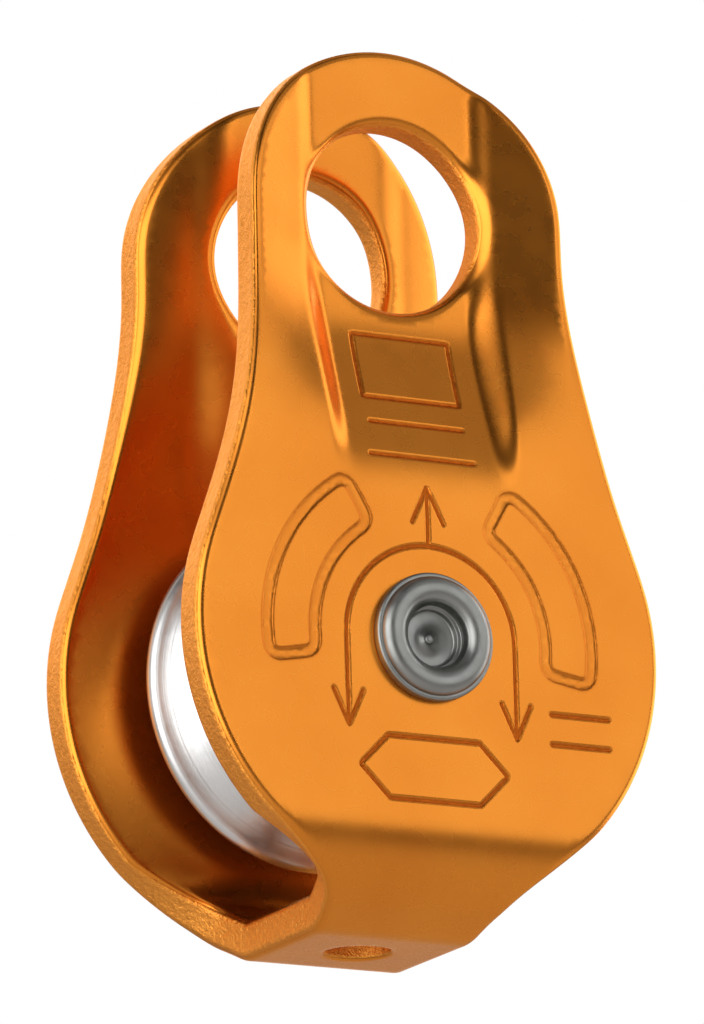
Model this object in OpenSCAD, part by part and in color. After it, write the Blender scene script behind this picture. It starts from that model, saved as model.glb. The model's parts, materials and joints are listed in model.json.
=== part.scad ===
// Rope pulley: a grooved sheave on a riveted axle, between the two side
// plates of a one-piece folded frame. Each side plate is round at the
// bottom, narrows to a neck and ends in a round lobe with a connector eye.
// The middle of the upper part is pressed inward, so the two eyes stand
// closer together than the plates do beside the sheave.
// Frame: +Z is up, the axle runs along Y, the front plate is at -Y.
// The origin is the middle of the web's outer face, where the web hole is.

/* [Side plates] */
// thickness of the folded plate
plate_t = 3.4; // [2.6:0.1:4]
// distance between the outer faces of the side plates
outer_w = 28; // [26:0.2:34]
// height of the axle above the web's outer face
axle_z = 23.4; // [22:0.2:28]
// radius of the round lower part, about the axle
lower_r = 21.4; // [19:0.2:26]
// height of the connector eyes above the axle
eye_rise = 36.9; // [34:0.1:46]
// radius of the top lobe, about the eye
lobe_r = 14.5; // [12:0.1:18]
// radius of a connector eye
eye_r = 8; // [6:0.1:9.5]
// slope of the straight shoulder above the round lower part, from vertical
shoulder_deg = 20; // [12:1:26]
// radius of the hollow curve at the neck
neck_r = 70; // [20:1:80]

/* [Web and bends] */
// half length of the web along X, where its hollow sides are narrowest
web_hx = 7.1; // [5:0.1:10]
// radius of the hollow curves that widen the web into the side plates
web_hollow_r = 6.8; // [4:0.1:9]
// slope of the straight taper above the hollow curve, from vertical
taper_deg = 49; // [40:1:60]
// half length of the web along Y, to the sharp corner of the bend
web_hy = 6.4; // [5:0.1:9]
// height of the corner between a side plate and its slanted bend
bend_z = 3.6; // [2:0.1:13]
// outer radius of the upper bend
upper_bend_r = 7.7; // [5:0.1:12]
// outer radius of the bend at the web
web_bend_r = 4.4; // [4:0.1:6]
// radius of the hole in the web
web_hole_r = 2.75; // [1.5:0.05:4]

/* [Pressed channel] */
// how far the middle of the upper part is pressed inward
press_depth = 4.4; // [1:0.1:6]
// half width of the flat floor of the channel
press_hx = 6.9; // [4:0.1:9]
// angle of the wings that rise beside the channel
wing_deg = 21; // [15:1:35]
// height above the axle where the floor starts to slope inward
floor_start = 16; // [12:0.5:20]
// height above the axle where the floor is fully inward
floor_end = 29.5; // [24:0.5:32]
// height above the axle where the wings start to slope
wing_start = 20; // [14:0.5:24]
// height above the axle where the wings are fully sloped
wing_end = 31; // [26:0.5:34]
// half width of the gusset walls at the plate's surface
gusset_hx = 8.9; // [7:0.1:12]
// steepness of the gusset walls
gusset_deg = 60; // [40:1:75]

/* [Marks] */
// depth of the stamped marks
mark_depth = 0.25; // [0.1:0.05:0.5]
// width of a stamped line
mark_w = 0.5; // [0.3:0.05:0.8]
// radius of the rope-path arc
arc_r = 7.75; // [6.5:0.05:9]
// drop of the arc's arrow tips below the axle
arrow_drop = 7.8; // [5:0.1:10]
// height of the upward arrow's tip above the axle
arrow_top = 12.7; // [10:0.1:15]
// inner radius of the curved slot marks
slot_r1 = 10.1; // [9:0.1:12]
// outer radius of the curved slot marks
slot_r2 = 15.5; // [13:0.1:18]

/* [Sheave] */
// outer radius of the rims
rim_r = 15.25; // [13:0.05:18]
// radius at the bottom of the rope groove
tread_r = 10.5; // [9:0.1:12]
// radius of the groove's round section
groove_r = 6.9; // [5:0.1:8]
// half width over the rims
rim_hy = 7.86; // [7.5:0.02:9.5]
// half width over the hub faces
hub_hy = 8.7; // [8:0.1:9.5]
// radius of the hub faces
hub_r = 9.4; // [8.8:0.1:10]

/* [Axle] */
// radius of the rivet's shank
shank_r = 3.5; // [2.5:0.1:4.5]
// wall of the spacer sleeve
sleeve_wall = 2.4; // [1.5:0.1:3]
// wall of a bush
bush_wall = 1; // [0.8:0.1:1.5]
// thickness of a bush's flange
flange_t = 0.9; // [0.6:0.1:1.5]
// radius of a bush's flange
flange_r = 8.6; // [7.5:0.1:9]
// thickness of a thrust washer
thrust_t = 0.7; // [0.5:0.1:1.2]
// radius of a rivet washer
rivet_washer_r = 5.35; // [4.5:0.05:7]
// radius of the recess in each end of the rivet
recess_r = 2.85; // [2:0.05:3]

/* [Hidden] */
$fn = 96;

anodised = [0.93, 0.56, 0.14];
silver = [0.82, 0.83, 0.84];
steel = [0.62, 0.63, 0.64];
bronze = [0.66, 0.5, 0.3];
polymer = [0.16, 0.16, 0.17];

// clearances: running fit on the sleeve, loose fit of the thrust washers
run_gap = 0.03;
loose_gap = 0.1;

outer_hy = outer_w / 2;
inner_hy = outer_hy - plate_t;
eye_z = axle_z + eye_rise;
// a length that reaches past the whole part
far = 100;

// slanted bends: turn of the upper bend and of the bend at the web
upper_turn = atan((outer_hy - web_hy) / bend_z);
web_turn = 90 - upper_turn;
upper_centre = [outer_hy - upper_bend_r, bend_z + upper_bend_r * tan(upper_turn / 2)];
web_centre = [web_hy - web_bend_r * tan(web_turn / 2), web_bend_r];
slant_out = [cos(upper_turn), -sin(upper_turn)];

// neck: corner where the shoulder meets the upright side of the upper part
shoulder_p = lower_r * [cos(shoulder_deg), sin(shoulder_deg)] + [0, axle_z];
neck_corner = [lobe_r, shoulder_p.y + (shoulder_p.x - lobe_r) / tan(shoulder_deg)];
neck_reach = neck_r * tan(shoulder_deg / 2);
neck_low = neck_corner + neck_reach * [sin(shoulder_deg), -cos(shoulder_deg)];
neck_high = neck_corner + [0, neck_reach];

// lower taper: tangent to the round lower part, with a hollow curve beside the web
taper_p = [lower_r * cos(taper_deg), axle_z - lower_r * sin(taper_deg)];
taper_run = (taper_p.x - web_hx) / sin(taper_deg);
hollow_corner = taper_p - taper_run * [sin(taper_deg), cos(taper_deg)];
hollow_reach = web_hollow_r * tan(taper_deg / 2);
hollow_low = hollow_corner - [0, hollow_reach];
hollow_high = hollow_corner + hollow_reach * [sin(taper_deg), cos(taper_deg)];

// the blank is cut square to its own face: the inner side of the web and bends, (X, Y)
trim_hx = 7.4;
trim_h = 8.5;
trim_path = [[trim_hx, 5.8], [8.3, 8.8], [9.4, 9.6], [14, outer_hy - plate_t]];

// sheave: the rounding of a rim is tangent to the groove, the rim's edge and its side
groove_x = tread_r + groove_r;
rim_b = 2 * (groove_x - rim_r) - 2 * rim_hy - 2 * groove_r;
rim_c = pow(groove_x - rim_r, 2) + pow(rim_hy, 2) - pow(groove_r, 2);
rim_round = (-rim_b - sqrt(pow(rim_b, 2) - 4 * rim_c)) / 2;
rim_centre = [rim_r - rim_round, rim_hy - rim_round];
rim_pull = norm([groove_x, 0] - rim_centre);
rim_touch = rim_centre + rim_round * ([groove_x, 0] - rim_centre) / rim_pull;

// axle stack
sleeve_r = shank_r + sleeve_wall;
bush_r1 = sleeve_r + run_gap;
bush_r2 = bush_r1 + bush_wall;
bush_gap = 1;
flange_hy = hub_hy + flange_t;
thrust_y = flange_hy + (inner_hy - flange_hy - thrust_t) / 2;

// rivet ends
rivet_washer_t = 0.7;
rivet_washer_lip = 0.5;
washer_foot = 0.4;
ring_round = 0.65;
ring_spread = 0.05;
ring_lift = 0.3;
ring_r = shank_r + ring_spread;
ring_y = outer_hy + rivet_washer_t + ring_lift;
ring_top = ring_y + ring_round;
recess_depth = 2.1;
recess_step_r = 2.3;
recess_step = 1.5;
nub_r = 0.4;
nub_h = 0.3;

// plain stamped fields that carry no lettering
field_z = axle_z + 23.4;
field_size = [9, 6.4];
field_corner = 0.9;
bar_z = [axle_z + 18.3, axle_z + 15.3];
bar_w = [8.6, 9.6];
low_bar_x = 13.7;
low_bar_z = [axle_z - 5.4, axle_z - 7.9];
low_bar_w = 5.4;
lozenge_z = axle_z - 11;
lozenge_size = [13.6, 5.2];
lozenge_nose = 2.6;

// ---------- helpers ----------

// a flat shape in (Y, Z), extruded along X over the whole part
module along_x() {
    rotate([90, 0, 90])
        linear_extrude(far, center = true)
            children();
}

// a flat shape in (X, Z), extruded along Y over the whole part
module along_y() {
    rotate([90, 0, 0])
        linear_extrude(far, center = true)
            children();
}

// a profile in (radius, Y) turned about the axle
module turned() {
    translate([0, 0, axle_z])
        rotate([-90, 0, 0])
            rotate_extrude()
                children();
}

module both_x() {
    children();
    mirror([1, 0, 0])
        children();
}

module both_y() {
    children();
    mirror([0, 1, 0])
        children();
}

// ---------- frame ----------

// section through the folded plate's outer face, moved inward by o: (Y, Z)
module fold_half(o) {
    upper_low = upper_centre + (upper_bend_r - o) * slant_out;
    web_high = web_centre + (web_bend_r - o) * slant_out;
    polygon([
        [0, o],
        [web_centre.x, o],
        web_high,
        upper_low,
        [outer_hy - o, upper_centre.y],
        [outer_hy - o, far],
        [0, far]
    ]);
    translate(upper_centre)
        circle(upper_bend_r - o);
    translate(web_centre)
        circle(web_bend_r - o);
}

module fold_section(o) {
    fold_half(o);
    mirror([1, 0])
        fold_half(o);
}

// slope of a pressed part, moved inward by o, for the rear plate: (Y, Z)
module press_slope(o, z0, z1) {
    turn = atan(press_depth / (z1 - z0));
    shift = axle_z - o * tan(turn / 2);
    face = outer_hy - o;
    over = 2;
    polygon([
        [face + over, z0 + shift - over * (z1 - z0) / press_depth],
        [face - press_depth, z1 + shift],
        [face - press_depth, far],
        [face + over, far]
    ]);
}

// channel cross-section, moved inward by o, for the rear plate: (X, Y)
module press_channel(o, floor_hx, side_deg) {
    face = outer_hy - o;
    over = 2;
    side_hx = floor_hx + (press_depth + over) / tan(side_deg);
    polygon([
        [-side_hx, face + over],
        [-floor_hx, face - press_depth],
        [floor_hx, face - press_depth],
        [side_hx, face + over]
    ]);
}

// what pressing takes from the rear plate's outer block, moved inward by o
module press_tool(o) {
    gusset_floor = gusset_hx - press_depth / tan(gusset_deg);
    intersection() {
        along_x()
            press_slope(o, floor_start, floor_end);
        linear_extrude(far)
            press_channel(o, gusset_floor, gusset_deg);
    }
    intersection() {
        along_x()
            press_slope(o, wing_start, wing_end);
        linear_extrude(far)
            press_channel(o, press_hx + o * tan(wing_deg / 2), wing_deg);
    }
}

// everything inside the folded and pressed outer face, moved inward by o
module pressed_block(o) {
    difference() {
        along_x()
            fold_section(o);
        both_y()
            press_tool(o);
    }
}

// outline of a side plate as it is seen along the axle: (X, Z)
module outline_half() {
    difference() {
        polygon([
            [0, hollow_low.y],
            hollow_low,
            hollow_high,
            taper_p,
            [0, axle_z],
            shoulder_p,
            neck_low,
            neck_high,
            [lobe_r, eye_z],
            [0, eye_z]
        ]);
        translate(neck_high + [neck_r, 0])
            circle(neck_r);
        translate(hollow_low + [web_hollow_r, 0])
            circle(web_hollow_r);
    }
}

module outline() {
    translate([0, axle_z])
        circle(lower_r);
    translate([0, eye_z])
        circle(lobe_r);
    outline_half();
    mirror([1, 0])
        outline_half();
}

// an arrowhead of two barbs with its tip at the origin, pointing down
module arrowhead() {
    barb_x = 1.5;
    barb_z = 3.1;
    fork = 2 * mark_w;
    both_x()
        polygon([
            [0, 0],
            [barb_x, barb_z],
            [barb_x - mark_w, barb_z],
            [0, fork]
        ]);
}

// part of a ring about the axle between two angles: (X, Z)
module ring_part(r1, r2, a1, a2) {
    reach = 2 * r2;
    intersection() {
        difference() {
            circle(r2);
            circle(r1);
        }
        polygon([
            [0, 0],
            reach * [cos(a1), sin(a1)],
            reach * [cos((a1 + a2) / 2), sin((a1 + a2) / 2)],
            reach * [cos(a2), sin(a2)]
        ]);
    }
}

// outline of a curved slot, as a line between two ring parts
module slot_line(inset) {
    line = 0.4;
    low_deg = -12;
    high_deg = 60;
    turn_per_mm = 360 / (PI * (slot_r1 + slot_r2));
    turn = inset * turn_per_mm;
    turn_in = (inset + line) * turn_per_mm;
    difference() {
        ring_part(slot_r1 + inset, slot_r2 - inset, low_deg + turn, high_deg - turn);
        ring_part(slot_r1 + inset + line, slot_r2 - inset - line,
                  low_deg + turn_in, high_deg - turn_in);
    }
}

module rope_path_mark() {
    half = mark_w / 2;
    tip_gap = 1;
    stem = arrow_top - arc_r - tip_gap;
    ring_part(arc_r - half, arc_r + half, 0, 90);
    ring_part(arc_r - half, arc_r + half, 90, 180);
    both_x() {
        translate([arc_r - half, tip_gap - arrow_drop])
            square([mark_w, arrow_drop - tip_gap]);
        translate([arc_r, -arrow_drop])
            arrowhead();
    }
    translate([-half, arc_r])
        square([mark_w, stem]);
    translate([0, arrow_top])
        mirror([0, 1])
            arrowhead();
}

module field_mark(size, nose) {
    lap = 1;
    both_x()
        difference() {
            polygon([
                [0, -size.y / 2],
                [size.x / 2 - nose, -size.y / 2],
                [size.x / 2, -size.y / 2 + nose],
                [size.x / 2, size.y / 2 - nose],
                [size.x / 2 - nose, size.y / 2],
                [0, size.y / 2]
            ]);
            polygon([
                [-lap, -size.y / 2 + mark_w],
                [size.x / 2 - nose, -size.y / 2 + mark_w],
                [size.x / 2 - mark_w, -size.y / 2 + nose],
                [size.x / 2 - mark_w, size.y / 2 - nose],
                [size.x / 2 - nose, size.y / 2 - mark_w],
                [-lap, size.y / 2 - mark_w]
            ]);
        }
}

module marks() {
    slot_gap = 0.9;
    translate([0, axle_z]) {
        rope_path_mark();
        both_x() {
            slot_line(0);
            slot_line(slot_gap);
        }
    }
    translate([0, field_z])
        field_mark(field_size, field_corner);
    translate([0, lozenge_z])
        field_mark(lozenge_size, lozenge_nose);
    for (i = [0, 1]) {
        translate([0, bar_z[i]])
            square([bar_w[i], mark_w], center = true);
        translate([low_bar_x, low_bar_z[i]])
            square([low_bar_w, mark_w], center = true);
    }
}

// what is cut away beside the web, between the side plates
module side_trim() {
    linear_extrude(2 * trim_h, center = true)
        both_x()
            both_y()
                polygon(concat([[far, 0], [trim_hx, 0]], trim_path, [[far, outer_hy - plate_t]]));
}

// the marks as a cutter that follows the front plate's face
module mark_cutter() {
    front_shift = far / 2 + 1;
    difference() {
        translate([0, -front_shift, 0])
            along_y()
                marks();
        pressed_block(mark_depth);
    }
}

module frame() {
    color(anodised)
        difference() {
            intersection() {
                pressed_block(0);
                along_y()
                    outline();
            }
            pressed_block(plate_t);
            translate([0, 0, eye_z])
                rotate([90, 0, 0])
                    cylinder(h = far, r = eye_r, center = true);
            translate([0, 0, axle_z])
                rotate([90, 0, 0])
                    cylinder(h = far, r = shank_r, center = true);
            cylinder(h = far, r = web_hole_r, center = true);
            side_trim();
            mark_cutter();
        }
}

// ---------- sheave ----------

module sheave() {
    color(silver)
        turned()
            difference() {
                union() {
                    polygon([
                        [bush_r2, -hub_hy],
                        [hub_r, -hub_hy],
                        [rim_centre.x, -rim_hy],
                        rim_touch - [0, 2 * rim_touch.y],
                        rim_touch,
                        [rim_centre.x, rim_hy],
                        [hub_r, hub_hy],
                        [bush_r2, hub_hy]
                    ]);
                    for (s = [-1, 1])
                        translate([rim_centre.x, s * rim_centre.y])
                            circle(rim_round);
                }
                translate([groove_x, 0])
                    circle(groove_r);
            }
}

// ---------- axle ----------

// a flanged bush in the rear end of the sheave
module rear_bush() {
    color(bronze)
        turned()
            polygon([
                [bush_r1, bush_gap],
                [bush_r2, bush_gap],
                [bush_r2, hub_hy],
                [flange_r, hub_hy],
                [flange_r, flange_hy],
                [bush_r1, flange_hy]
            ]);
}

module front_bush() {
    mirror([0, 1, 0])
        rear_bush();
}

module axle_sleeve() {
    color(steel)
        turned()
            translate([shank_r, -inner_hy])
                square([sleeve_wall, 2 * inner_hy]);
}

// a thrust washer in the gap between the rear bush's flange and the rear plate
module rear_thrust_washer() {
    color(polymer)
        turned()
            translate([sleeve_r + loose_gap, thrust_y])
                square([flange_r - sleeve_r - loose_gap, thrust_t]);
}

module front_thrust_washer() {
    mirror([0, 1, 0])
        rear_thrust_washer();
}

// a dished washer on the rear plate's outer face, with a rounded lip
module rear_rivet_washer() {
    lip_r = rivet_washer_r - rivet_washer_lip;
    color(silver)
        turned() {
            translate([shank_r, outer_hy])
                square([lip_r - shank_r, rivet_washer_t]);
            translate([lip_r, outer_hy + rivet_washer_lip])
                circle(rivet_washer_lip);
            translate([lip_r, outer_hy])
                square([washer_foot, rivet_washer_lip]);
        }
}

module front_rivet_washer() {
    mirror([0, 1, 0])
        rear_rivet_washer();
}

module rivet_end() {
    translate([0, outer_hy])
        square([shank_r, ring_y - outer_hy]);
    translate([ring_r, ring_y])
        circle(ring_round);
    translate([0, ring_y])
        square([ring_r, ring_round]);
}

module axle_rivet() {
    floor_y = ring_top - recess_depth;
    step_y = ring_top - recess_step;
    color(silver)
        turned()
            intersection() {
                difference() {
                    union() {
                        translate([0, -outer_hy])
                            square([shank_r, outer_w]);
                        rivet_end();
                        mirror([0, 1])
                            rivet_end();
                    }
                    for (s = [0, 1])
                        mirror([0, s])
                            difference() {
                                union() {
                                    translate([0, step_y])
                                        square([recess_r, far]);
                                    translate([0, floor_y])
                                        square([recess_step_r, far]);
                                }
                                translate([0, floor_y - nub_h])
                                    square([nub_r, 2 * nub_h]);
                            }
                }
                translate([0, -far / 2])
                    square(far);
            }
}

frame();
sheave();
front_bush();
rear_bush();
axle_sleeve();
axle_rivet();
front_rivet_washer();
rear_rivet_washer();
front_thrust_washer();
rear_thrust_washer();
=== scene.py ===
import json
import math

import bmesh
import bpy
import numpy as np
from mathutils import Matrix, Vector, geometry


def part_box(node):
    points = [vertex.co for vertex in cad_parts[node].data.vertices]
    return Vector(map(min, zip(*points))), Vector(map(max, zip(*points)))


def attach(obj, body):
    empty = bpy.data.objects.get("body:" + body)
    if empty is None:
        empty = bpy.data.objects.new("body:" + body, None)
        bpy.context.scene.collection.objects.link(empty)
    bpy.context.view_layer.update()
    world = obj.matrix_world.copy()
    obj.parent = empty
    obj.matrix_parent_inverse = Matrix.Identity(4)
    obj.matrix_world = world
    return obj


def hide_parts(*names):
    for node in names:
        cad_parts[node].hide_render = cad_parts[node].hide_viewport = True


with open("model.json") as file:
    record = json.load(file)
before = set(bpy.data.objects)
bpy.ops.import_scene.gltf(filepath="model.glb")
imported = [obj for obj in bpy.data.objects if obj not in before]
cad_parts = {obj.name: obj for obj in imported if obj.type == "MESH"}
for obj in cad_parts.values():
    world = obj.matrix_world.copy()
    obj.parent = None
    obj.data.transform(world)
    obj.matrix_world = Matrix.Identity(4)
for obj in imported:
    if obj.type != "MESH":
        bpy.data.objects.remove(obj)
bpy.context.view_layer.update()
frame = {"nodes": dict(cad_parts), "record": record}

# Shapes are worked out in millimetres, in the part's own frame, and made in metres.
MM = 0.001


def span(node):
    """Lowest and highest corner of a CAD node, in millimetres."""
    low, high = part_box(node)
    return np.array(low) / MM, np.array(high) / MM


def mount(name):
    """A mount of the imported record."""
    return next(m for m in frame["record"]["mounts"] if m["name"] == name)


# ---------- driving sizes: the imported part's own ----------

frame_high = span("frame")[1]
sheave_low, sheave_high = span("sheave")
rivet_high = span("axle_rivet")[1]
rivet_washer_high = span("rear_rivet_washer")[1]
eye = mount("connector_eye")
web_hole = mount("web_hole")

AXLE_Z = (sheave_low[2] + sheave_high[2]) / 2
OUTER_HY = frame_high[1]
LOWER_R = frame_high[0]
PLATE_T = web_hole["dims"]["length_mm"]
WEB_HOLE_R = web_hole["dims"]["r_mm"]
EYE_R = eye["dims"]["r_mm"]
EYE_Z = eye["pos_m"][2] / MM
LOBE_R = frame_high[2] - EYE_Z

# ---------- sizes of the bends, the outline and the pressed channel ----------

SHOULDER = math.radians(20)
NECK_R = 70
TAPER = math.radians(49)
HOLLOW_R = 6.8
WEB_HX = 7.1
WEB_HY = 6.4
BEND_Z = 3.6
UPPER_BEND_R = 7.7
WEB_BEND_R = 4.4
PRESS_DEPTH = 4.4
PRESS_HX = 6.9
WING = math.radians(21)
FLOOR_START, FLOOR_END = AXLE_Z + 11, AXLE_Z + 30
WING_START, WING_END = AXLE_Z + 15.5, AXLE_Z + 34
GUSSET_HX = 9.1
GUSSET_W = 2.8

UPPER_TURN = math.atan((OUTER_HY - WEB_HY) / BEND_Z)
WEB_TURN = math.pi / 2 - UPPER_TURN

EDGE_ROUND = 0.7
EYE_ROUND = 0.9
HOLE_ROUND = 0.35
AXLE_HOLE_R = 3.55
AXLE_ROUND = 0.2

# ---------- the folded sheet ----------

WEB_FLAT = WEB_HY - WEB_BEND_R * math.tan(WEB_TURN / 2)
SLANT = (math.hypot(OUTER_HY - WEB_HY, BEND_Z)
         - WEB_BEND_R * math.tan(WEB_TURN / 2) - UPPER_BEND_R * math.tan(UPPER_TURN / 2))
S_WEB_ARC = WEB_FLAT
S_SLANT = S_WEB_ARC + WEB_BEND_R * WEB_TURN
S_UPPER_ARC = S_SLANT + SLANT
S_PLATE = S_UPPER_ARC + UPPER_BEND_R * UPPER_TURN
Z_PLATE = BEND_Z + UPPER_BEND_R * math.tan(UPPER_TURN / 2)


def fold(s):
    """Outer face of the folded strip at arc length s from the web's middle (s > 0 is the rear).

    Returns y, z and the inward normal's y and z."""
    side = np.where(s < 0, -1.0, 1.0)
    a = np.abs(s)
    turn = np.clip((a - S_WEB_ARC) / WEB_BEND_R, 0, WEB_TURN)
    turn2 = np.clip((a - S_UPPER_ARC) / UPPER_BEND_R, 0, UPPER_TURN)
    y = np.minimum(a, WEB_FLAT) + WEB_BEND_R * np.sin(turn)
    z = WEB_BEND_R * (1 - np.cos(turn))
    slant = np.clip(a - S_SLANT, 0, SLANT)
    y = y + slant * math.cos(WEB_TURN)
    z = z + slant * math.sin(WEB_TURN)
    y = y + UPPER_BEND_R * (np.sin(WEB_TURN + turn2) - math.sin(WEB_TURN))
    z = z + UPPER_BEND_R * (math.cos(WEB_TURN) - np.cos(WEB_TURN + turn2))
    z = z + np.maximum(a - S_PLATE, 0)
    angle = turn + turn2
    return side * y, z, -side * np.sin(angle), np.cos(angle)


def s_of_z(z):
    """Arc length at height z on a side plate or a slanted bend."""
    s = np.linspace(S_WEB_ARC, S_PLATE + 70, 8000)
    return np.interp(z, fold(s)[1], s)


def soft_min(a, b, k):
    """The smaller value, blended over a width of about k."""
    return -k * np.logaddexp(-a / k, -b / k)


def soft_max(a, b, k):
    """The larger value, blended over a width of about k."""
    return k * np.logaddexp(a / k, b / k)


def ramp(z, start, end, inset):
    """0 below start, 1 above end; the inner face's slope sits a little lower."""
    shift = inset * math.tan(math.atan(PRESS_DEPTH / (end - start)) / 2)
    u = np.clip((z + shift - start) / (end - start), 0, 1)
    return u * u * (3 - 2 * u)


def press(x, z, inset=0.0):
    """How far the outer face, or the face that lies inset below it, is pressed inward."""
    soft = 1 + inset * 0.5
    ax = np.sqrt(x * x + 0.01)
    floor = PRESS_DEPTH * ramp(z, FLOOR_START, FLOOR_END, inset)
    half = PRESS_HX + inset * math.tan(WING / 2)
    flat = soft_min(PRESS_DEPTH, PRESS_DEPTH - math.tan(WING) * (ax - half), 0.3 * soft)
    wing = soft_max(flat, 0, 0.1) * ramp(z, WING_START, WING_END, inset)
    width = GUSSET_W + 0.9 * inset
    pleat = np.clip((GUSSET_HX + 0.35 * inset - ax) / width, 0, 1)
    return wing + (floor - wing) * pleat * pleat * (3 - 2 * pleat)


def face(x, s, inset):
    """Points of the sheet at a depth of inset below its outer face."""
    y, z, ny, nz = fold(s)
    d = inset + press(x, z, np.minimum(inset, PLATE_T))
    return np.stack([x, y + ny * d, z + nz * d], axis=-1)


# ---------- outline of the flat blank, in (x, s) ----------

def arc(cx, cz, r, a0, a1, step=0.4):
    """Points along an arc from angle a0 to a1."""
    count = max(int(abs(a1 - a0) * r / step), 2)
    a = np.linspace(a0, a1, count)
    return np.stack([cx + r * np.cos(a), cz + r * np.sin(a)], axis=-1)


def resample(points, step, closed=True):
    """The same line with evenly spaced points."""
    if closed:
        points = np.vstack([points, points[:1]])
    run = np.concatenate([[0], np.cumsum(np.linalg.norm(np.diff(points, axis=0), axis=1))])
    count = max(int(round(run[-1] / step)), 2)
    at = np.linspace(0, run[-1], count + 1)
    if closed:
        at = at[:-1]
    return np.stack([np.interp(at, run, points[:, i]) for i in (0, 1)], axis=-1)


def plate_edge():
    """Right edge of the rear half of the blank, from the web's middle to the top."""
    shoulder = np.array([LOWER_R * math.cos(SHOULDER), AXLE_Z + LOWER_R * math.sin(SHOULDER)])
    corner = np.array([LOBE_R, shoulder[1] + (shoulder[0] - LOBE_R) / math.tan(SHOULDER)])
    reach = NECK_R * math.tan(SHOULDER / 2)
    taper_p = np.array([LOWER_R * math.cos(TAPER), AXLE_Z - LOWER_R * math.sin(TAPER)])
    slope = np.array([math.sin(TAPER), math.cos(TAPER)])
    corner_low = taper_p - slope * (taper_p[0] - WEB_HX) / math.sin(TAPER)
    hollow = corner_low + [HOLLOW_R, -HOLLOW_R * math.tan(TAPER / 2)]
    start = math.pi - math.asin((0.03 - hollow[1]) / HOLLOW_R)
    hollow_arc = arc(hollow[0], hollow[1], HOLLOW_R, start, math.pi - TAPER)
    low = np.vstack([hollow_arc, np.linspace(hollow_arc[-1], taper_p, 20)[1:]])
    upper = np.vstack([
        low,
        arc(0, AXLE_Z, LOWER_R, -TAPER, SHOULDER)[1:],
        arc(LOBE_R + NECK_R, corner[1] + reach, NECK_R, math.pi + SHOULDER, math.pi),
        arc(0, EYE_Z, LOBE_R, 0, math.pi / 2),
    ])
    edge = np.stack([upper[:, 0], s_of_z(upper[:, 1])], axis=-1)
    return np.vstack([np.linspace([edge[0, 0], 0], edge[0], 12)[:-1], edge])


def smooth_loop(loop, weights):
    """A closed loop whose points are weighted means of their neighbours."""
    reach = len(weights) // 2
    wrapped = np.vstack([loop[-reach:], loop, loop[:reach]])
    return np.stack([np.convolve(wrapped[:, i], weights, "valid") for i in (0, 1)], axis=-1)


def blank_outline():
    """Outline of the whole blank: both plates and the web."""
    right_rear = plate_edge()
    right_front = right_rear[::-1] * [1, -1]
    right = np.vstack([right_front[:-1], right_rear])
    left = right[::-1] * [-1, 1]
    loop = resample(np.vstack([right[:-1], left[:-1]]), 0.45)
    return smooth_loop(loop, np.array([1, 2, 3, 4, 5, 4, 3, 2, 1]) / 25)


def circle_loop(cx, cs, r, grow=0.0):
    """A circle of radius r + grow, with as many points as the circle of radius r."""
    count = max(int(2 * math.pi * r / 0.4), 24)
    a = np.linspace(0, 2 * math.pi, count, endpoint=False)
    return np.stack([cx + (r + grow) * np.cos(a), cs + (r + grow) * np.sin(a)], axis=-1)


def inward(loop):
    """Unit normals of a counter-clockwise loop, pointing inside."""
    t = np.roll(loop, -1, axis=0) - np.roll(loop, 1, axis=0)
    t /= np.linalg.norm(t, axis=1, keepdims=True)
    return np.stack([-t[:, 1], t[:, 0]], axis=-1)


def distance(points, lines, closed=True):
    """Distance from each point to the nearest of the poly-lines, and which line that is."""
    best = np.full(len(points), 1e9)
    which = np.zeros(len(points), int)
    for index, line in enumerate(lines):
        a = line if closed else line[:-1]
        b = np.roll(line, -1, axis=0) if closed else line[1:]
        for i in range(0, len(points), 4000):
            p = points[i:i + 4000, None, :]
            ab = b - a
            t = np.clip(np.einsum("ijk,jk->ij", p - a, ab) / np.sum(ab * ab, axis=1), 0, 1)
            d = np.linalg.norm(p - a - t[..., None] * ab, axis=2).min(axis=1)
            closer = d < best[i:i + 4000]
            best[i:i + 4000] = np.where(closer, d, best[i:i + 4000])
            which[i:i + 4000] = np.where(closer, index, which[i:i + 4000])
    return best, which


def inside(points, loop):
    """Even-odd test of points in a closed loop."""
    result = np.zeros(len(points), bool)
    x, y = points[:, 0], points[:, 1]
    for (x0, y0), (x1, y1) in zip(loop, np.roll(loop, -1, axis=0)):
        if y0 == y1:
            continue
        crosses = (y0 > y) != (y1 > y)
        result ^= crosses & (x < (x1 - x0) * (y - y0) / (y1 - y0) + x0)
    return result


# ---------- stamped marks of the front plate, as strokes in (x, height over the axle) ----------

MARK_DEPTH = 0.17
MARK_W = 0.5
BAND_W = 1.25
MARK_WALL = 0.14
BAND_WALL = 0.24
ARC_R = 7.75
ARROW_DROP = 7.8
ARROW_TOP = 12.7


def ring_slot(r1, r2, low, high, corner):
    """Closed outline of a curved slot between two radii, with rounded corners."""
    raw = np.vstack([
        arc(0, 0, r1, high, low, 0.15),
        arc(0, 0, r2, low, high, 0.15),
    ])
    step = 0.1
    count = 2 * int(corner / step) + 1
    return smooth_loop(resample(raw, step), np.ones(count) / count)


def closed(line):
    """The line with its first point repeated at its end."""
    return np.vstack([line, line[:1]])


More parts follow.
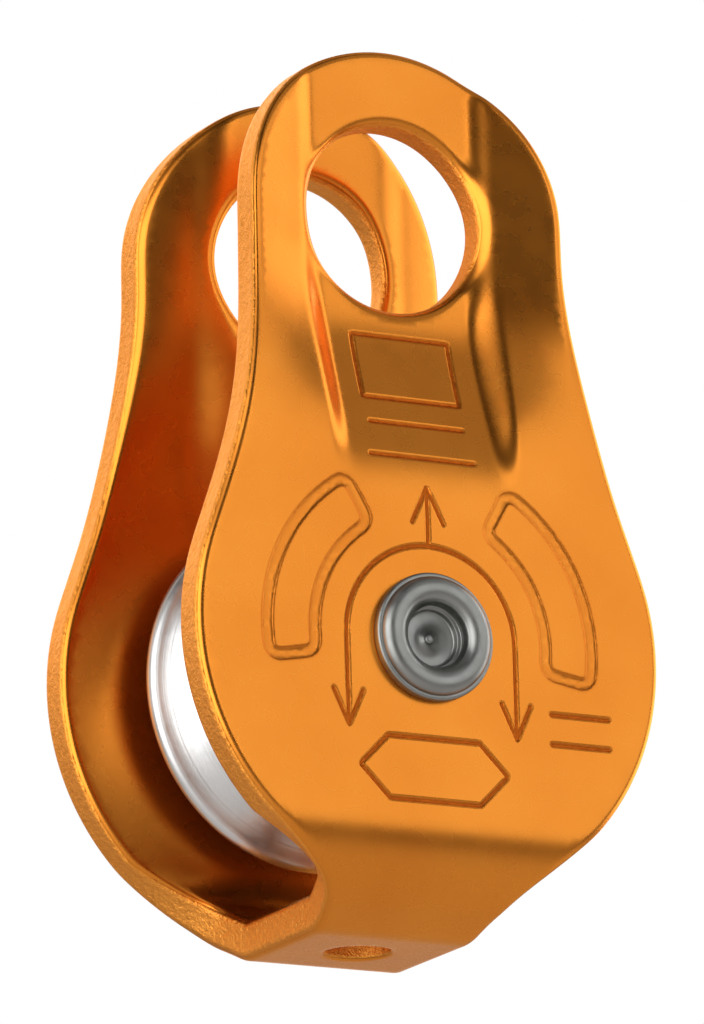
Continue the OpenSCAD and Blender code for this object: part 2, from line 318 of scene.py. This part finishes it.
def mark_strokes():
    """Poly-lines of the marks: the rope's path with its arrows, the curved slots and plain fields."""
    down = [[ARC_R, 0.3], [ARC_R, -ARROW_DROP]]
    barbs = [[ARC_R - 1.35, -ARROW_DROP + 2.9], [ARC_R, -ARROW_DROP], [ARC_R + 1.35, -ARROW_DROP + 2.9]]
    right = [np.array(down), np.array(barbs)]
    strokes = right + [line * [-1, 1] for line in right]
    strokes.append(arc(0, 0, ARC_R, 0, math.pi, 0.2))
    strokes.append(np.array([[0, ARC_R], [0, ARROW_TOP]]))
    strokes.append(np.array([[-1.45, ARROW_TOP - 3], [0, ARROW_TOP], [1.45, ARROW_TOP - 3]]))
    field = np.array([[-4.5, 20.6], [4.5, 20.6], [4.5, 26.4], [-4.5, 26.4], [-4.5, 20.6]])
    strokes.append(field)
    strokes.append(np.array([[-4.3, 18.3], [4.3, 18.3]]))
    strokes.append(np.array([[-4.8, 15.3], [4.8, 15.3]]))
    strokes.append(np.array([[11, -5.4], [16.4, -5.4]]))
    strokes.append(np.array([[11, -7.9], [16.4, -7.9]]))
    nose = np.array([[-4.2, -13.6], [4.2, -13.6], [6.8, -11], [4.2, -8.4], [-4.2, -8.4], [-6.8, -11],
                     [-4.2, -13.6]])
    strokes.append(nose)
    return strokes


def band_strokes():
    """Centre lines of the wide bands round the two curved slots."""
    slot = closed(ring_slot(10.7, 15.0, math.radians(-10.5), math.radians(60), 1.1))
    return [slot, slot * [-1, 1]]


def front_lines(strokes):
    """The strokes in blank coordinates of the front plate, evenly sampled."""
    result = []
    for line in strokes:
        line = resample(np.asarray(line, float), 0.2, closed=False)
        result.append(np.stack([line[:, 0], -s_of_z(line[:, 1] + AXLE_Z)], axis=-1))
    return result


def around(line, offset):
    """Closed loops that run at one distance from a stroke, with round ends."""
    looped = np.linalg.norm(line[0] - line[-1]) < 0.01
    if looped:
        line = line[:-1]
        t = np.roll(line, -1, axis=0) - np.roll(line, 1, axis=0)
    else:
        t = np.gradient(line, axis=0)
    t /= np.maximum(np.linalg.norm(t, axis=1, keepdims=True), 1e-9)
    left = np.stack([-t[:, 1], t[:, 0]], axis=-1) * offset
    if looped:
        return [line + left, line - left]
    caps = []
    for end, sign in ((-1, 1), (0, -1)):
        a = np.radians([60, 20, -20, -60])[:, None]
        caps.append(line[end] + sign * (t[end] * offset * np.cos(a) + left[end] * np.sin(a)))
    return [np.vstack([line + left, caps[0], (line - left)[::-1], caps[1]])]


def groove_depth(gap, width, wall):
    """Depth of a stamped groove at a distance from its centre line."""
    u = np.clip((gap - width / 2 + wall) / wall, 0, 1)
    return MARK_DEPTH * (1 - u * u * (3 - 2 * u))


# ---------- the frame's mesh ----------

def edge_height(d, r):
    """Height of a quarter-round edge at distance d from the cut."""
    u = np.clip(r - d, 0, r)
    return r - np.sqrt(np.maximum(r * r - u * u, 0))


def scatter(low, high, pitch):
    """A triangular grid of points over a box."""
    rows = []
    row_gap = pitch * math.sqrt(3) / 2
    for i, s in enumerate(np.arange(low[1], high[1], row_gap)):
        x = np.arange(low[0] + (pitch / 2 if i % 2 else 0), high[0], pitch)
        rows.append(np.stack([x, np.full(len(x), s)], axis=-1))
    return np.vstack(rows)


def frame_mesh():
    """Points and faces of the folded plate, with its edge values and its mark values (the stamped
    marks, and the painted shade of grooves and band walls) at each point.
    """
    s_eye, s_axle = s_of_z(EYE_Z), s_of_z(AXLE_Z)
    outline = blank_outline()
    holes = [(0, s_eye, EYE_R, EYE_ROUND), (0, -s_eye, EYE_R, EYE_ROUND),
             (0, s_axle, AXLE_HOLE_R, AXLE_ROUND), (0, -s_axle, AXLE_HOLE_R, AXLE_ROUND),
             (0, 0, WEB_HOLE_R, HOLE_ROUND)]
    rounds = [EDGE_ROUND] + [h[3] for h in holes]
    edges = [outline] + [circle_loop(*h[:3]) for h in holes]
    ring_angles = np.radians([0, 22.5, 45, 67.5, 90])

    rings = []
    normals = inward(outline)
    for a in ring_angles:
        rings.append(outline + normals * EDGE_ROUND * (1 - math.cos(a)))
        for cx, cs, r, er in holes:
            rings.append(circle_loop(cx, cs, r, er * (1 - math.cos(a))))
    strokes, bands = front_lines(mark_strokes()), front_lines(band_strokes())
    guides = []
    for lines, width, wall in ((strokes, MARK_W, MARK_WALL), (bands, BAND_W, BAND_WALL)):
        for line in lines:
            for offset in (width / 2 - wall, width / 2 - wall / 2, width / 2, width / 2 + 0.12):
                guides += around(line, offset)

    top = s_of_z(EYE_Z + LOBE_R)
    coarse = scatter([-LOWER_R, -top], [LOWER_R, top], 0.9)
    fine = scatter([-LOBE_R - 3, 0], [LOBE_R + 3, top], 0.5)
    s_fine = s_of_z(FLOOR_START - 1)
    fine = fine[fine[:, 1] > s_fine]
    bend = scatter([-LOWER_R, 0], [LOWER_R, S_PLATE + 1], 0.55)
    fine = np.vstack([fine, fine * [1, -1], bend, bend * [1, -1]])
    in_fine = ((np.abs(coarse[:, 1]) > s_fine - 0.3) & (np.abs(coarse[:, 0]) < LOBE_R + 3.2)) | (
        np.abs(coarse[:, 1]) < S_PLATE + 1.3)
    grid = np.vstack([coarse[~in_fine], fine])
    grid = grid[inside(grid, outline)]
    gap = distance(grid, edges)
    grid = grid[gap[0] > np.array(rounds)[gap[1]] + 0.25]
    for cx, cs, r, er in holes:
        grid = grid[np.hypot(grid[:, 0] - cx, grid[:, 1] - cs) > r + er + 0.25]
    for lines, width, wall in ((strokes, MARK_W, MARK_WALL), (bands, BAND_W, BAND_WALL)):
        near = distance(grid, lines, closed=False)[0]
        grid = grid[np.abs(near - width / 2) > wall + 0.2]

    segments = []
    start = 0
    for loop in rings + guides:
        count = len(loop)
        segments.extend((start + i, start + (i + 1) % count) for i in range(count))
        start += count
    flat = np.vstack(rings + guides + [grid])
    cdt = geometry.delaunay_2d_cdt([Vector(p) for p in flat], segments, [], 0, 1e-4)
    verts = np.array([v[:] for v in cdt[0]])
    tris = np.array([f for f in cdt[2] if len(f) == 3])
    centre = verts[tris].mean(axis=1)
    keep = inside(centre, outline)
    for loop in edges[1:]:
        keep &= ~inside(centre, loop)
    tris = tris[keep]
    a, b, c = verts[tris[:, 0]], verts[tris[:, 1]], verts[tris[:, 2]]
    area = (b[:, 0] - a[:, 0]) * (c[:, 1] - a[:, 1]) - (c[:, 0] - a[:, 0]) * (b[:, 1] - a[:, 1])
    tris[area < 0] = tris[area < 0][:, ::-1]
    used = np.unique(tris)
    index = np.full(len(verts), -1)
    index[used] = np.arange(len(used))
    verts, tris = verts[used], index[tris]

    gap, which = distance(verts, edges)
    radius = np.array(rounds)[which]
    lip = edge_height(gap, radius)
    band_gap = distance(verts, bands, closed=False)[0]
    line_groove = groove_depth(distance(verts, strokes, closed=False)[0], MARK_W, MARK_WALL)
    groove = np.maximum(line_groove, groove_depth(band_gap, BAND_W, BAND_WALL) * 0.75)
    wall = np.clip(1 - np.abs(band_gap - BAND_W / 2 + BAND_WALL / 2) / BAND_WALL, 0, 1)
    # painted shade: grooves and band walls get this value, which darkens their colour as well as
    # roughening and bumping them
    stamped_painted_shade = np.maximum(line_groove / MARK_DEPTH, wall * 0.4)
    x, s = verts[:, 0], verts[:, 1]
    base, under = face(x, s, 0.0), face(x, s, PLATE_T)
    down = (under - base) / PLATE_T
    outer = base + down * (lip + groove)[:, None]
    inner = under - down * lip[:, None]

    # cut edge: the boundary edges of the triangles become a wall between the two faces
    count = len(verts)
    directed = np.vstack([tris[:, [0, 1]], tris[:, [1, 2]], tris[:, [2, 0]]])
    keys = {(int(a), int(b)) for a, b in directed}
    border = [(a, b) for a, b in keys if (b, a) not in keys]
    border_verts = sorted({v for e in border for v in e})
    slot_of = {v: i for i, v in enumerate(border_verts)}
    bv = np.array(border_verts)
    levels = 6
    rough = np.random.default_rng(7).standard_normal((levels, len(bv))) * 0.035
    out_dir = np.zeros((len(bv), 2))
    for a, b in border:
        e = verts[b] - verts[a]
        e = np.array([e[1], -e[0]]) / max(np.hypot(*e), 1e-9)
        out_dir[slot_of[a]] += e
        out_dir[slot_of[b]] += e
    out_dir /= np.maximum(np.linalg.norm(out_dir, axis=1, keepdims=True), 1e-9)
    ny, nz = fold(s[bv])[2:]
    push = np.stack([out_dir[:, 0], out_dir[:, 1] * nz, -out_dir[:, 1] * ny], axis=-1)
    on_outline = (which[bv] == 0)[:, None]
    wall_points = []
    for k in range(1, levels):
        h = (radius[bv] + (PLATE_T - 2 * radius[bv]) * k / levels)[:, None]
        wall_points.append(base[bv] + down[bv] * h
                           - push * np.abs(rough[k - 1])[:, None] * np.where(on_outline, 1.0, 0.3))
    total = np.vstack([outer, inner] + wall_points)

    def level(v, k):
        """Number of the point on cut-edge level k at boundary vertex v."""
        if k == 0:
            return v
        if k == levels:
            return v + count
        return 2 * count + (k - 1) * len(bv) + slot_of[v]

    faces = [tuple(int(i) for i in t[::-1]) for t in tris]
    faces += [tuple(int(i) + count for i in t) for t in tris]
    for a, b in border:
        for k in range(levels):
            faces.append((level(a, k), level(b, k), level(b, k + 1), level(a, k + 1)))
    near_edge = np.clip(1 - gap / radius, 0, 1)
    wall_count = len(bv) * (levels - 1)
    # the edge values also place the painted highlight on the cut edges
    edge_mask = np.concatenate([near_edge, near_edge, np.ones(wall_count)])
    mark_and_shade_mask = np.concatenate([stamped_painted_shade, np.zeros(count + wall_count)])
    return total, faces, edge_mask, mark_and_shade_mask


def new_object(name, points, faces):
    """A smooth-shaded mesh object from points in millimetres."""
    mesh = bpy.data.meshes.new(name)
    mesh.from_pydata([tuple(p * MM) for p in np.asarray(points, float)], [], faces)
    mesh.validate()
    mesh.polygons.foreach_set("use_smooth", [True] * len(mesh.polygons))
    mesh.update()
    obj = bpy.data.objects.new(name, mesh)
    bpy.context.scene.collection.objects.link(obj)
    return obj


def store(obj, name, values):
    """One number for each point of the mesh, for the material to read."""
    layer = obj.data.attributes.new(name, "FLOAT", "POINT")
    layer.data.foreach_set("value", np.asarray(values, np.float32))


# ---------- turned pieces ----------

def lathe(name, profile, segments=192):
    """A closed profile of (radius, y) turned about the axle."""
    profile = np.asarray(profile, float)
    angles = np.linspace(0, 2 * math.pi, segments, endpoint=False)
    points = []
    for a in angles:
        points.append(np.stack([profile[:, 0] * math.cos(a), profile[:, 1],
                                AXLE_Z + profile[:, 0] * math.sin(a)], axis=-1))
    n = len(profile)
    faces = []
    for i in range(segments):
        j = (i + 1) % segments
        for k in range(n):
            m = (k + 1) % n
            faces.append((i * n + k, i * n + m, j * n + m, j * n + k))
    obj = new_object(name, np.vstack(points), faces)
    bm_clean(obj)
    return obj


def bm_clean(obj):
    """Joins doubled points, drops faces without area and turns all faces outward."""
    bm = bmesh.new()
    bm.from_mesh(obj.data)
    bmesh.ops.remove_doubles(bm, verts=bm.verts, dist=1e-7)
    bmesh.ops.dissolve_degenerate(bm, edges=bm.edges, dist=1e-8)
    bmesh.ops.recalc_face_normals(bm, faces=bm.faces)
    bm.to_mesh(obj.data)
    bm.free()
    obj.data.polygons.foreach_set("use_smooth", [True] * len(obj.data.polygons))


def fillet(points, radii, steps=6):
    """A closed profile with its corners rounded."""
    points = np.asarray(points, float)
    result = []
    count = len(points)
    for i, r in enumerate(radii):
        p = points[i]
        if r <= 0:
            result.append(p)
            continue
        a = points[i - 1] - p
        b = points[(i + 1) % count] - p
        la, lb = np.linalg.norm(a), np.linalg.norm(b)
        a, b = a / la, b / lb
        half = math.acos(np.clip(np.dot(a, b), -1, 1)) / 2
        cut = min(r / math.tan(half), la * 0.49, lb * 0.49)
        r = cut * math.tan(half)
        mid = (a + b) / np.linalg.norm(a + b)
        centre = p + mid * r / math.sin(half)
        start, end = p + a * cut - centre, p + b * cut - centre
        a0, a1 = math.atan2(start[1], start[0]), math.atan2(end[1], end[0])
        turn = (a1 - a0 + math.pi) % (2 * math.pi) - math.pi
        for k in range(steps + 1):
            t = a0 + turn * k / steps
            result.append(centre + r * np.array([math.cos(t), math.sin(t)]))
    return np.array(result)


# ---------- materials ----------

def material(name):
    """A new material with its node tree's parts."""
    mat = bpy.data.materials.new(name)
    mat.use_nodes = True
    return mat, mat.node_tree.nodes, mat.node_tree.links, mat.node_tree.nodes["Principled BSDF"]


def noise(nodes, links, coords, scale, detail=3.0, roughness=0.5):
    node = nodes.new("ShaderNodeTexNoise")
    node.inputs["Scale"].default_value = scale
    node.inputs["Detail"].default_value = detail
    node.inputs["Roughness"].default_value = roughness
    links.new(coords, node.inputs["Vector"])
    return node.outputs["Fac"]


def map_range(nodes, links, value, low, high, to_low, to_high):
    node = nodes.new("ShaderNodeMapRange")
    links.new(value, node.inputs["Value"])
    for key, number in (("From Min", low), ("From Max", high), ("To Min", to_low), ("To Max", to_high)):
        node.inputs[key].default_value = number
    return node.outputs["Result"]


def mix_color(nodes, links, factor, a, b):
    node = nodes.new("ShaderNodeMix")
    node.data_type = "RGBA"
    links.new(factor, node.inputs["Factor"])
    for key, value in (("A", a), ("B", b)):
        socket = next(i for i in node.inputs if i.name == key and i.type == "RGBA")
        if isinstance(value, tuple):
            socket.default_value = value
        else:
            links.new(value, socket)
    return next(o for o in node.outputs if o.type == "RGBA")


def math_node(nodes, links, operation, a, b):
    node = nodes.new("ShaderNodeMath")
    node.operation = operation
    for socket, value in zip(node.inputs, (a, b)):
        if isinstance(value, (int, float)):
            socket.default_value = value
        else:
            links.new(value, socket)
    return node.outputs[0]


def bump(nodes, links, height, strength, distance_m, normal=None):
    node = nodes.new("ShaderNodeBump")
    node.inputs["Strength"].default_value = strength
    node.inputs["Distance"].default_value = distance_m
    links.new(height, node.inputs["Height"])
    if normal is not None:
        links.new(normal, node.inputs["Normal"])
    return node.outputs["Normal"]


def anodised_material():
    """Gold-orange anodised plate: glossy faces; rougher and paler at the sheared edges, with painted
    highlight there; rougher and darker in the stamped grooves and on the band walls, as painted shade.
    """
    mat, nodes, links, shader = material("anodised_gold")
    coords = nodes.new("ShaderNodeTexCoord").outputs["Object"]
    edge = nodes.new("ShaderNodeAttribute")
    edge.attribute_name = "edge"
    mark = nodes.new("ShaderNodeAttribute")
    mark.attribute_name = "mark"
    plain = (0.79, 0.268, 0.033, 1)
    deep = (0.74, 0.235, 0.027, 1)
    # partly the sheared metal's paler tone, partly painted highlight on the cut edges
    sheared_tone_and_highlight = (0.92, 0.4, 0.075, 1)
    # painted shade: dark red mixed into the stamped grooves and onto the band walls
    stamped_painted_shade = (0.52, 0.1, 0.008, 1)
    cloud = noise(nodes, links, coords, 90, 4)
    base = mix_color(nodes, links, map_range(nodes, links, cloud, 0.35, 0.65, 0, 1), deep, plain)
    grit = noise(nodes, links, coords, 1900, 4, 0.65)
    sheared_and_highlight = map_range(nodes, links, edge.outputs["Fac"], 0.75, 1.0, 0, 1)
    # painted highlight: the cut edges and the outer part of their rounding are mixed toward pale
    # yellow, along with the sheared metal's own paler tone
    base = mix_color(nodes, links, math_node(nodes, links, "MULTIPLY", sheared_and_highlight, 0.6), base, sheared_tone_and_highlight)
    # painted shade in the stamped grooves and on the band walls
    base = mix_color(nodes, links, math_node(nodes, links, "MULTIPLY", mark.outputs["Fac"], 0.85),
                     base, stamped_painted_shade)
    links.new(base, shader.inputs["Base Color"])
    shader.inputs["Metallic"].default_value = 1.0
    rough = map_range(nodes, links, noise(nodes, links, coords, 400, 2), 0.3, 0.7, 0.26, 0.29)
    sheared_rough = math_node(nodes, links, "MULTIPLY", sheared_and_highlight, 0.16)
    mark_rough = math_node(nodes, links, "MULTIPLY", mark.outputs["Fac"], 0.12)
    both = math_node(nodes, links, "ADD", rough, sheared_rough)
    links.new(math_node(nodes, links, "ADD", both, mark_rough), shader.inputs["Roughness"])
    peel = bump(nodes, links, noise(nodes, links, coords, 700, 2), 0.04, 0.0001)
    torn = bump(nodes, links, math_node(nodes, links, "MULTIPLY", grit, sheared_and_highlight), 0.95, 0.0003, peel)
    struck = math_node(nodes, links, "MULTIPLY", grit, mark.outputs["Fac"])
    links.new(bump(nodes, links, struck, 0.5, 0.0003, torn), shader.inputs["Normal"])
    shader.inputs["Specular Tint"].default_value = (1.0, 0.88, 0.68, 1)
    return mat


def turned_material(name, color, low, high, rings=0.0, grain=1500):
    """Turned or pressed bare metal, with fine lines around the axle."""
    mat, nodes, links, shader = material(name)
    coords = nodes.new("ShaderNodeTexCoord").outputs["Object"]
    cloud = noise(nodes, links, coords, 260, 5)
    dark = tuple(c * 0.88 for c in color) + (1,)
    patches = map_range(nodes, links, cloud, 0.35, 0.7, 0, 1)
    base = mix_color(nodes, links, patches, dark, color + (1,))
    links.new(base, shader.inputs["Base Color"])
    shader.inputs["Metallic"].default_value = 1.0
    links.new(map_range(nodes, links, noise(nodes, links, coords, 900, 4), 0.3, 0.7, low, high),
              shader.inputs["Roughness"])
    normal = bump(nodes, links, noise(nodes, links, coords, grain, 3), 0.12, 0.00005)
    if rings:
        split = nodes.new("ShaderNodeSeparateXYZ")
        links.new(coords, split.inputs[0])
        lines = nodes.new("ShaderNodeTexNoise")
        lines.noise_dimensions = "1D"
        lines.inputs["Scale"].default_value = rings
        lines.inputs["Detail"].default_value = 2
        links.new(split.outputs["Y"], lines.inputs["W"])
        normal = bump(nodes, links, lines.outputs["Fac"], 0.25, 0.00006, normal)
    links.new(normal, shader.inputs["Normal"])
    return mat


def plastic_material():
    """Matte black polymer."""
    mat, nodes, links, shader = material("polymer_washer")
    coords = nodes.new("ShaderNodeTexCoord").outputs["Object"]
    tone = mix_color(nodes, links, noise(nodes, links, coords, 500, 4),
                     (0.012, 0.012, 0.013, 1), (0.03, 0.03, 0.032, 1))
    links.new(tone, shader.inputs["Base Color"])
    links.new(map_range(nodes, links, noise(nodes, links, coords, 1400), 0.3, 0.7, 0.42, 0.6),
              shader.inputs["Roughness"])
    links.new(bump(nodes, links, noise(nodes, links, coords, 3000), 0.2, 0.00005),
              shader.inputs["Normal"])
    return mat


def pale_material():
    """The studio floor: plain light grey."""
    mat, nodes, links, shader = material("studio_floor")
    coords = nodes.new("ShaderNodeTexCoord").outputs["Object"]
    tone = mix_color(nodes, links, noise(nodes, links, coords, 3),
                     (0.56, 0.56, 0.56, 1), (0.6, 0.6, 0.6, 1))
    links.new(tone, shader.inputs["Base Color"])
    shader.inputs["Roughness"].default_value = 0.8
    return mat


# ---------- pieces ----------

gold = anodised_material()
aluminium = turned_material("turned_aluminium", (0.68, 0.685, 0.68), 0.3, 0.38, rings=5200)
rivet_steel = turned_material("rivet_steel", (0.31, 0.315, 0.3), 0.32, 0.44)
sleeve_steel = turned_material("ground_steel", (0.6, 0.6, 0.6), 0.15, 0.25, rings=6000)
bronze = turned_material("sintered_bronze", (0.52, 0.33, 0.14), 0.35, 0.5, grain=4000)
polymer = plastic_material()


def dress(obj, mat):
    """Gives the object one material."""
    obj.data.materials.clear()
    obj.data.materials.append(mat)


def finish_piece(obj, mat, body, slot, *nodes):
    """Material, body and the CAD nodes that the piece replaces; the slot argument is not used."""
    dress(obj, mat)
    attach(obj, body)
    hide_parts(*nodes)


def make_frame():
    """The folded plate."""
    points, faces, edge_mask, mark_and_shade_mask = frame_mesh()
    obj = new_object("folded_frame", points, faces)
    store(obj, "edge", edge_mask)
    store(obj, "mark", mark_and_shade_mask)
    finish_piece(obj, gold, "frame", "anodised_plate", "frame")


def make_sheave():
    """The wheel: a round groove, two rims with rounded tips, flat flanks and hubs."""
    rim_r, rim_hy = sheave_high[0], 7.86
    hub_r, hub_hy = 9.4, sheave_high[1]
    bore_r = 6.93
    tread_r, groove_r = 10.5, 6.9
    groove_x = tread_r + groove_r
    # radius of the rim's tip, which touches the groove, the rim's radius and the flank
    b = 2 * (groove_x - rim_r) - 2 * rim_hy - 2 * groove_r
    c = (groove_x - rim_r) ** 2 + rim_hy ** 2 - groove_r ** 2
    tip_r = (-b - math.sqrt(b * b - 4 * c)) / 2
    tip_x, tip_y = rim_r - tip_r, rim_hy - tip_r
    meet = math.atan2(tip_y, groove_x - tip_x)
    groove = [(groove_x - groove_r * math.cos(a), groove_r * math.sin(a))
              for a in np.linspace(-meet, meet, 60)]
    tip = [(tip_x + tip_r * math.cos(a), tip_y + tip_r * math.sin(a))
           for a in np.linspace(-meet, math.pi / 2, 14)]
    upper = tip + [(hub_r, hub_hy), (bore_r, hub_hy)]
    lower = [(r, -y) for r, y in upper[::-1]]
    obj = lathe("sheave_wheel", groove + upper[1:] + lower[:-1], 256)
    finish_piece(obj, aluminium, "sheave", "turned_aluminium", "sheave")


def make_rivet():
    """The solid rivet, with a rolled ring round a stepped recess at each end."""
    shank_r = 3.5
    top = rivet_high[1]
    half_w, rise = 1.06, 0.8
    ring_r = 3.92
    ring_y = top - rise
    under = OUTER_HY + 0.3
    ring = [(ring_r + half_w * math.cos(a), ring_y + rise * math.sin(a))
            for a in np.linspace(-0.3, 2.8, 26)]
    recess = fillet([(2.85, top - 0.7), (2.72, top - 1.5), (2.4, top - 1.6), (2.35, top - 2.1),
                     (0.45, top - 2.14)], [0.15, 0.1, 0.1, 0.25, 0], 4)
    nub = [(0.42, top - 1.98), (0.3, top - 1.86), (0.0, top - 1.82)]
    half = [(shank_r, under)] + ring + [tuple(p) for p in recess] + nub
    obj = lathe("rivet_pin", half + [(r, -y) for r, y in half[::-1]])
    finish_piece(obj, rivet_steel, "frame", "rivet_steel", "axle_rivet")


def make_rivet_washers():
    """The dished flange rings under the rivet's two ends."""
    lip_r = rivet_washer_high[0]
    y0 = OUTER_HY
    for name, side, node in (("rivet_ring_front", -1, "front_rivet_washer"),
                             ("rivet_ring_rear", 1, "rear_rivet_washer")):
        profile = fillet([(3.55, y0 + 0.02), (lip_r, y0 + 0.02), (lip_r, y0 + 0.85), (4.85, y0 + 0.85),
                          (4.6, y0 + 0.6), (3.55, y0 + 0.6)], [0.05, 0.15, 0.42, 0.3, 0.2, 0.05])
        obj = lathe(name, profile * [1, side])
        finish_piece(obj, rivet_steel, "frame", "rivet_steel", node)


make_frame()
make_sheave()
make_rivet()
make_rivet_washers()
for node, mat in (("axle_sleeve", sleeve_steel), ("front_bush", bronze), ("rear_bush", bronze),
                  ("front_thrust_washer", polymer), ("rear_thrust_washer", polymer)):
    dress(frame["nodes"][node], mat)


# ---------- stage, lights, camera ----------

def make_stage():
    """The floor, well below the part because the camera looks up at it."""
    half = 3.0
    drop = -0.25
    corners = [(-half, -half, drop), (half, -half, drop), (half, half, drop), (-half, half, drop)]
    mesh = bpy.data.meshes.new("studio_floor")
    mesh.from_pydata(corners, [], [(0, 1, 2, 3)])
    floor = bpy.data.objects.new("studio_floor", mesh)
    bpy.context.scene.collection.objects.link(floor)
    dress(floor, pale_material())


def make_light(name, direction, distance_m, size, power):
    """A rectangular lamp in metres and watts that faces the part."""
    light = bpy.data.lights.new(name, "AREA")
    light.shape = "RECTANGLE"
    light.size, light.size_y = size
    light.energy = power
    obj = bpy.data.objects.new(name, light)
    bpy.context.scene.collection.objects.link(obj)
    target = Vector((0, 0, AXLE_Z * MM + 0.012))
    away = Vector(direction).normalized()
    obj.location = target + away * distance_m
    obj.rotation_euler = away.to_track_quat("Z", "Y").to_euler()


def make_world():
    """White all round for the camera; in reflections, pale behind the part and dark in front."""
    world = bpy.data.worlds.new("studio")
    bpy.context.scene.world = world
    world.use_nodes = True
    nodes, links = world.node_tree.nodes, world.node_tree.links
    nodes.clear()
    out = nodes.new("ShaderNodeOutputWorld")
    coords = nodes.new("ShaderNodeTexCoord").outputs["Generated"]
    split = nodes.new("ShaderNodeSeparateXYZ")
    links.new(coords, split.inputs[0])
    tone = map_range(nodes, links, split.outputs["Y"], -0.25, 0.45, 0.03, 0.9)
    soft = nodes.new("ShaderNodeBackground")
    links.new(tone, soft.inputs["Strength"])
    soft.inputs["Color"].default_value = (1.0, 0.87, 0.8, 1)
    white = nodes.new("ShaderNodeBackground")
    white.inputs["Strength"].default_value = 1.0
    white.inputs["Color"].default_value = (1, 1, 1, 1)
    mix = nodes.new("ShaderNodeMixShader")
    path = nodes.new("ShaderNodeLightPath")
    links.new(path.outputs["Is Camera Ray"], mix.inputs["Fac"])
    links.new(soft.outputs[0], mix.inputs[1])
    links.new(white.outputs[0], mix.inputs[2])
    links.new(mix.outputs[0], out.inputs["Surface"])


def make_camera():
    """A long lens from the front left, a little below the part."""
    azimuth, elevation, roll = (math.radians(v) for v in (-28.34, -13.67, 1.51))
    distance_m = 0.7175
    aim_up, aim_right = 0.01359, 0.00012
    focal_mm = 305
    back = Vector((math.sin(azimuth) * math.cos(elevation), -math.cos(azimuth) * math.cos(elevation),
                   math.sin(elevation)))
    right = Vector((math.cos(azimuth), math.sin(azimuth), 0))
    up = back.cross(right)
    turned_right = math.cos(roll) * right - math.sin(roll) * up
    turned_up = math.sin(roll) * right + math.cos(roll) * up
    axle = Vector((0, 0, AXLE_Z * MM))
    place = axle + back * distance_m
    aim = axle + turned_up * aim_up + turned_right * aim_right
    ahead = (aim - place).normalized()
    side = ahead.cross(turned_up).normalized()
    high = side.cross(ahead)
    data = bpy.data.cameras.new("photo_view")
    data.lens = focal_mm
    data.sensor_width = 36
    data.sensor_fit = "AUTO"
    data.clip_start = 0.01
    cam = bpy.data.objects.new("photo_view", data)
    bpy.context.scene.collection.objects.link(cam)
    cam.matrix_world = Matrix.Translation(place) @ Matrix((side, high, -ahead)).transposed().to_4x4()
    bpy.context.scene.camera = cam


make_stage()
# name, direction from the part, distance, width and height, power
LAMPS = [
    ("key_right", (0.5, -0.82, 0.26), 0.7, (0.62, 0.5), 1.12),
    ("side_right", (0.99, 0.02, 0.25), 0.6, (0.55, 0.6), 2.2),
    ("left", (-0.8, -0.5, 0.1), 0.7, (0.7, 0.8), 4.9),
    ("top_front", (0.35, -0.5, 0.8), 0.7, (0.6, 0.3), 0.22),
    ("strip", (0.14, -0.95, 0.24), 0.7, (0.05, 0.5), 0.17),
    ("back", (0.0, 0.85, 0.5), 0.9, (0.9, 0.5), 1.7),
    ("low_back", (0.46, 0.85, -0.25), 0.6, (0.5, 0.24), 0.07),
]
for lamp in LAMPS:
    make_light(*lamp)
make_world()
make_camera()
bpy.context.scene.view_settings.view_transform = "Standard"
